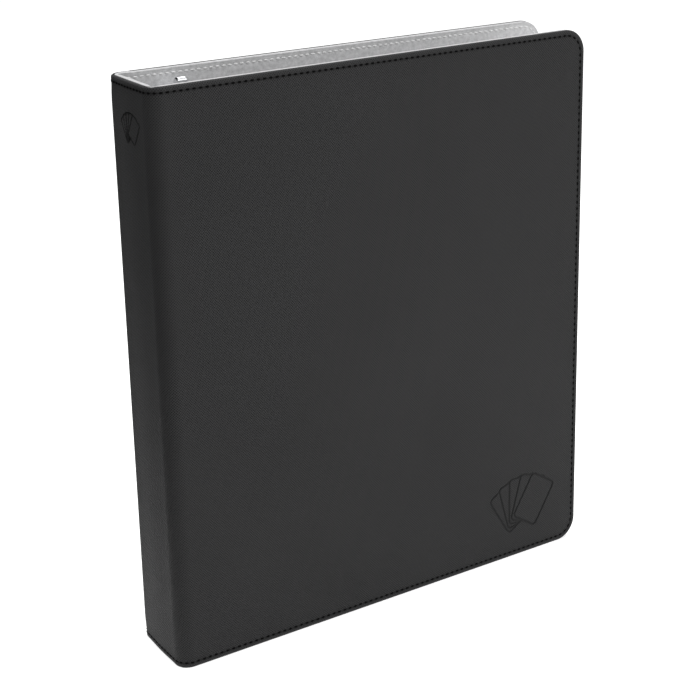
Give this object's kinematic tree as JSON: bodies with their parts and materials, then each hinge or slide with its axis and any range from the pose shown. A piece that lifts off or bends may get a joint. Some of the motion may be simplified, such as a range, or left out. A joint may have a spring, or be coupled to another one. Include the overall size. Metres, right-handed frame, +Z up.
{
  "type": "trading card binder",
  "caption": "Stitched, padded three-ring binder for card pages, standing closed, with hinged covers and a lever-opened D-ring mechanism.",
  "frame": {"origin": "middle of the spine's bottom edge, midway through its thickness", "axes": "+Z up, +X from the spine to the covers' free edges, +Y from the front cover to the back cover"},
  "size_m": [0.2821, 0.0772, 0.315],
  "materials": {
    "skin": "fine embossed matt imitation leather",
    "padding": "thin foam",
    "board": "raw greyboard",
    "lining": "microfibre",
    "thread": "twisted thread",
    "chrome": "polished plating",
    "steel": "plain sheet"
  },
  "bodies": {
    "spine": {"spine_skin": "skin", "spine_padding": "padding", "spine_board": "board", "spine_lining": "lining", "spine_outer_seam": "thread", "spine_inner_seam": "thread", "front_hinge_skin": "skin", "front_hinge_lining": "lining", "back_hinge_skin": "skin", "back_hinge_lining": "lining"},
    "front_cover": {"front_skin": "skin", "front_padding": "padding", "front_board": "board", "front_lining": "lining", "front_outer_seam": "thread", "front_inner_seam": "thread"},
    "back_cover": {"back_skin": "skin", "back_padding": "padding", "back_board": "board", "back_lining": "lining", "back_outer_seam": "thread", "back_inner_seam": "thread", "ring_housing": "chrome", "rivet_spacers": "steel", "mounting_rivets": "chrome", "rivet_washers": "steel", "lever_pins": "chrome"},
    "left_blade": {"left_blade": "steel", "top_ring_bow": "chrome", "middle_ring_bow": "chrome", "bottom_ring_bow": "chrome"},
    "right_blade": {"right_blade": "steel", "top_ring_post": "chrome", "middle_ring_post": "chrome", "bottom_ring_post": "chrome"},
    "top_lever": {"top_lever": "chrome"},
    "bottom_lever": {"bottom_lever": "chrome"}
  },
  "joints": [
    {"name": "front_hinge", "type": "hinge", "parent": "spine", "child": "front_cover", "pos_m": [0.00017, -0.02433, 0.1575], "axis": [0, 0, -1], "range_deg": [-3, 178], "deforming": ["front_hinge_skin", "front_hinge_lining"]},
    {"name": "back_hinge", "type": "hinge", "parent": "spine", "child": "back_cover", "pos_m": [0.00017, 0.02433, 0.1575], "axis": [0, 0, 1], "range_deg": [-4, 175.1], "deforming": ["back_hinge_skin", "back_hinge_lining"]},
    {"name": "ring_opening", "type": "hinge", "parent": "back_cover", "child": "left_blade", "pos_m": [0.01883, 0.01897, 0.1575], "axis": [0, 0, -1], "range_deg": [0, 18]},
    {"name": "right_blade_swing", "type": "hinge", "parent": "back_cover", "child": "right_blade", "pos_m": [0.04134, 0.0209, 0.1575], "axis": [0, 0, 1], "range_deg": [0, 18]},
    {"name": "top_lever_swing", "type": "hinge", "parent": "back_cover", "child": "top_lever", "pos_m": [0.03008, 0.01994, 0.2925], "axis": [-0.9963, -0.0854, 0], "range_deg": [0, 25.3]},
    {"name": "bottom_lever_swing", "type": "hinge", "parent": "back_cover", "child": "bottom_lever", "pos_m": [0.03008, 0.01994, 0.0225], "axis": [0.9963, 0.0854, 0], "range_deg": [0, 25.3]}
  ],
  "couplings": [
    {"joint": "right_blade_swing", "follows": "ring_opening", "ratio": 1},
    {"joint": "top_lever_swing", "follows": "ring_opening", "ratio": 1.4},
    {"joint": "bottom_lever_swing", "follows": "ring_opening", "ratio": 1.4}
  ]
}
